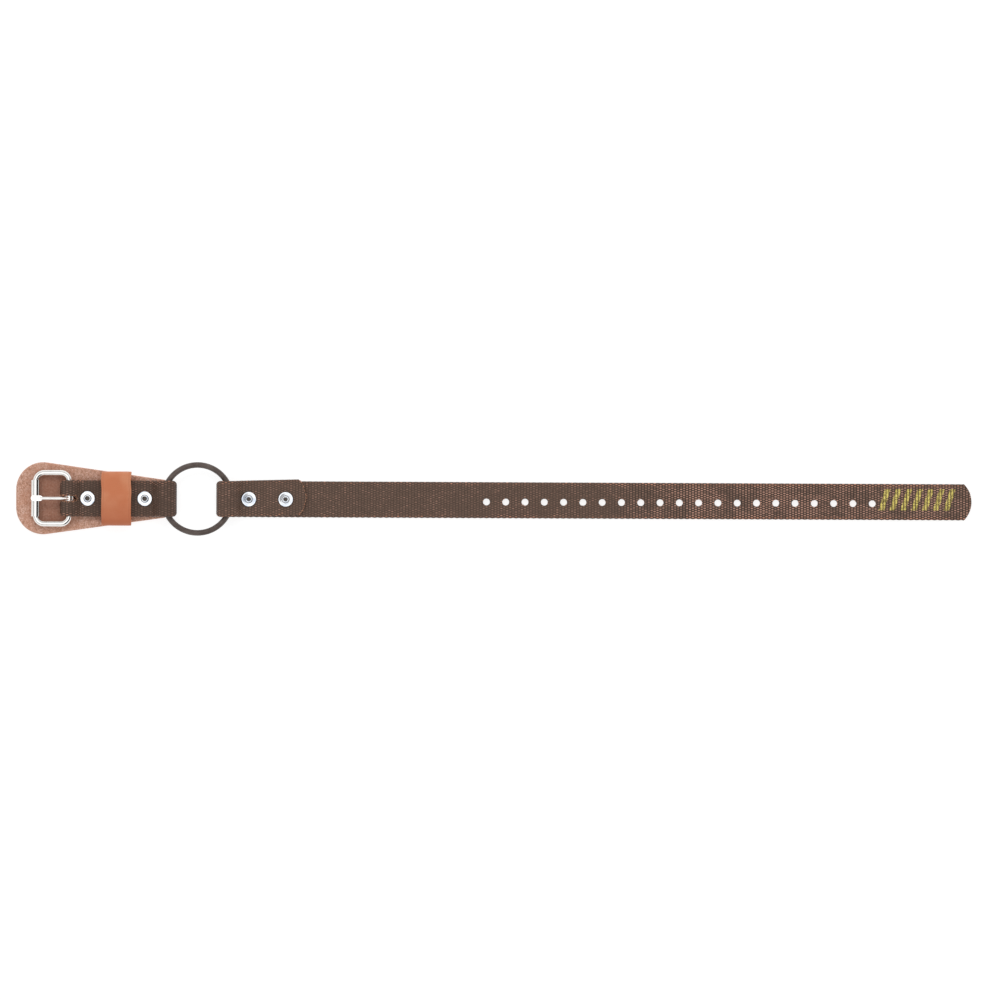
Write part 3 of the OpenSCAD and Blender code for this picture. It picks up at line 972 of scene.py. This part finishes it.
# metal carried over from the frame
nickelLook = {"clean": (0.86, 0.845, 0.82, 1), "smudged": (0.80, 0.785, 0.76, 1)}
zincLook = {
    "pale": (0.84, 0.86, 0.89, 1),
    "blue": (0.70, 0.77, 0.88, 1),
    "grey": (0.26, 0.26, 0.27, 1),
    "deep": (0.07, 0.06, 0.055, 1),
    "bore": (1.4 * mm, 1.4 * mm, 1.1 * mm, 1.1 * mm),      # radius in rivets 1 to 4
    "lip": (1.9 * mm, 2.6 * mm),
    "above": 2 * mm,                                       # the domed heads below stay clean
}
wireLook = {"clean": (0.62, 0.61, 0.60, 1), "smudged": (0.5, 0.5, 0.5, 1)}
ringLook = {"paint": rgb(74, 62, 57), "worn": rgb(92, 80, 75), "scratch": rgb(128, 114, 106)}


# plated steel, a mirror with smudges and fine scratches
def platedMaterial(name, clean, smudged, roughness, smudge):
    material, tree, shader = newMaterial(name, {"Metallic": 1.0})
    marks = useGroup(tree, handling, Vector=objectPlace(tree))
    colour = mixColour(tree, rampNode(tree, marks["Smudge"], 0.42, 0.66), clean, smudged)
    tree.links.new(colour, shader.inputs["Base Color"])
    dull = rampNode(tree, marks["Smudge"], 0.35, 0.7, roughness, roughness + smudge)
    tree.links.new(plus(tree, dull, times(tree, marks["Scratch"], 0.08)), shader.inputs["Roughness"])
    tree.links.new(bumpNode(tree, marks["Scratch"], 0.08, 0.03 * mm), shader.inputs["Normal"])
    return material


# zinc, with painted shade in the bore and a greyer rolled lip
def rivetMaterial(index):
    material = platedMaterial(f"bright zinc {index}", zincLook["pale"], zincLook["blue"], 0.16, 0.14)
    tree = material.node_tree
    shader = tree.nodes["Principled BSDF"]
    colour = shader.inputs["Base Color"].links[0].from_socket
    place = split(tree, objectPlace(tree))
    offX = minus(tree, place["X"], rivetX[index - 1])
    squares = plus(tree, mathNode(tree, "POWER", offX, 2.0), mathNode(tree, "POWER", place["Y"], 2.0))
    radius = mathNode(tree, "SQRT", squares)
    bore = zincLook["bore"][index - 1]
    above = mathNode(tree, "GREATER_THAN", place["Z"], zincLook["above"])
    lip = times(tree, rampNode(tree, radius, *zincLook["lip"], 0.1, 0.9), above)
    # painted shade in the bore
    deep = times(tree, rampNode(tree, radius, bore + 0.05 * mm, bore + 0.4 * mm, 1.0, 0.0), above)
    colour = mixColour(tree, lip, colour, zincLook["grey"])
    colour = mixColour(tree, deep, colour, zincLook["deep"])
    tree.links.new(colour, shader.inputs["Base Color"])
    return material


def ringMaterial():
    material, tree, shader = newMaterial("dark brown paint", {"Specular IOR Level": 0.45})
    position = objectPlace(tree)
    marks = useGroup(tree, handling, Vector=position)
    patches = useGroup(tree, mottle, Vector=position, Scale=1.4)
    colour = mixColour(tree, rampNode(tree, patches["Broad"], 0.4, 0.62), ringLook["paint"], ringLook["worn"])
    colour = mixColour(tree, times(tree, marks["Scratch"], 0.35), colour, ringLook["scratch"])
    tree.links.new(colour, shader.inputs["Base Color"])
    tree.links.new(rampNode(tree, marks["Smudge"], 0.35, 0.68, 0.34, 0.52), shader.inputs["Roughness"])
    tree.links.new(bumpNode(tree, patches["Middle"], 0.25, 0.12 * mm), shader.inputs["Normal"])
    return material


nickel = platedMaterial("bright nickel", *nickelLook.values(), 0.04, 0.08)
zinc = platedMaterial("bright zinc", zincLook["pale"], zincLook["blue"], 0.22, 0.12)
wire = platedMaterial("plain wire", *wireLook.values(), 0.3, 0.2)
finishes = {"ring": ringMaterial()}
finishes.update({f"buckle_{part}": nickel for part in ("frame", "roller", "tongue")})
finishes.update({f"keeper_staple_{index}": wire for index in (1, 2)})
for index in range(1, 5):
    finishes[f"rivet_{index}"] = rivetMaterial(index)
    finishes[f"rivet_washer_{index}"] = zinc
for name, material in finishes.items():
    mesh = frame["nodes"][name].data
    mesh.materials.clear()
    mesh.materials.append(material)
print("metal finished:", len(finishes), "pieces")

# floor, light and a camera that looks straight down
stage = {
    "floorSize": 8.0,
    "floorZ": -0.02 * mm,     # just below the lowest piece
    "floor": (0.3, 0.3, 0.3, 1),
    "glow": 0.8,
    "camera": (4.34 * mm, 0.2 * mm),
    "across": 0.7,            # how much of the floor the picture takes in
    "lens": 500.0,
    "roll": 0.26,             # degrees
}


def floorPiece():
    bm = bmesh.new()
    bmesh.ops.create_grid(bm, x_segments=8, y_segments=8, size=stage["floorSize"] / 2)
    mesh = bpy.data.meshes.new("floor")
    bm.to_mesh(mesh)
    bm.free()
    floor = bpy.data.objects.new("floor", mesh)
    floor.location.z = stage["floorZ"]
    bpy.context.scene.collection.objects.link(floor)
    material, _, _ = newMaterial("pale floor", {
        "Roughness": 0.75,
        "Specular IOR Level": 0.2,
        "Base Color": stage["floor"],
        "Emission Color": (1, 1, 1, 1),
        "Emission Strength": stage["glow"],
    })
    mesh.materials.append(material)


# heights in the sky where the light changes, and how bright it is there on the lit and the dark side
skyBands = [
    (0.00, 0.80, 0.90), (0.06, 0.85, 1.00), (0.10, 0.90, 1.15), (0.36, 1.00, 1.15),
    (0.42, 1.10, 0.01), (0.56, 1.15, 0.01), (0.62, 0.42, 0.01), (0.82, 0.42, 0.01),
    (0.88, 1.10, 0.01), (0.92, 1.40, 0.05), (0.96, 1.45, 1.40), (1.00, 1.50, 1.50),
]
sky = {
    "lean": 0.5,              # turns the dark side from +X towards -Y
    "darkFrom": (0.60, 0.80),
    "even": 0.767,            # brightness for everything but reflections
}


def skyRamp(tree, height, column):
    ramp = tree.nodes.new("ShaderNodeValToRGB")
    tree.links.new(height, ramp.inputs[0])
    while len(ramp.color_ramp.elements) < len(skyBands):
        ramp.color_ramp.elements.new(0.5)
    for element, band in zip(ramp.color_ramp.elements, skyBands):
        element.position = band[0]
        element.color = (band[column], band[column], band[column], 1)
    return ramp.outputs["Color"]


# a white sky; only reflections see its grey band and the dark one on one side, which draw the lines in metal
def worldLight():
    world = bpy.data.worlds.new("studio")
    bpy.context.scene.world = world
    world.use_nodes = True
    tree = world.node_tree
    background = tree.nodes["Background"]
    x, y, z = split(tree, tree.nodes.new("ShaderNodeTexCoord").outputs["Generated"])
    side = minus(tree, x, times(tree, y, sky["lean"]))
    level = mathNode(tree, "SQRT", minus(tree, 1.0, mathNode(tree, "POWER", z, 2.0)))
    share = rampNode(tree, divided(tree, side, level), *sky["darkFrom"])
    brightness = mixColour(tree, share, skyRamp(tree, z, 1), skyRamp(tree, z, 2))
    rays = tree.nodes.new("ShaderNodeLightPath").outputs
    even = (sky["even"], sky["even"], sky["even"], 1)
    brightness = mixColour(tree, rays["Is Glossy Ray"], even, brightness)
    seen = mathNode(tree, "MAXIMUM", brightness, rays["Is Camera Ray"])
    tree.links.new(seen, background.inputs["Strength"])
    background.inputs["Color"].default_value = (1, 1, 1, 1)


lights = (                    # name, place, width and depth, watts
    ("overhead", (-0.4, 1.1, 1.5), (1.6, 0.7), 9),
    ("side", (0.9, -0.9, 1.1), (0.8, 0.8), 2),
)


def areaLight(name, place, size, energy):
    data = bpy.data.lights.new(name, "AREA")
    data.shape = "RECTANGLE"
    data.size, data.size_y = size
    data.energy = energy
    light = bpy.data.objects.new(name, data)
    light.location = place
    light.visible_camera = False
    light.visible_glossy = False
    light.rotation_euler = (-Vector(place)).to_track_quat("-Z", "Y").to_euler()
    bpy.context.scene.collection.objects.link(light)


def cameraView():
    data = bpy.data.cameras.new("camera")
    data.lens = stage["lens"]
    camera = bpy.data.objects.new("camera", data)
    x, y = stage["camera"]
    camera.location = (x, y, stage["across"] * data.lens / data.sensor_width)
    camera.rotation_euler = (0, 0, math.radians(stage["roll"]))
    bpy.context.scene.collection.objects.link(camera)
    bpy.context.scene.camera = camera


floorPiece()
worldLight()
for name, place, size, energy in lights:
    areaLight(name, place, size, energy)
cameraView()
bpy.context.scene.view_settings.view_transform = "Standard"
print("stage set")
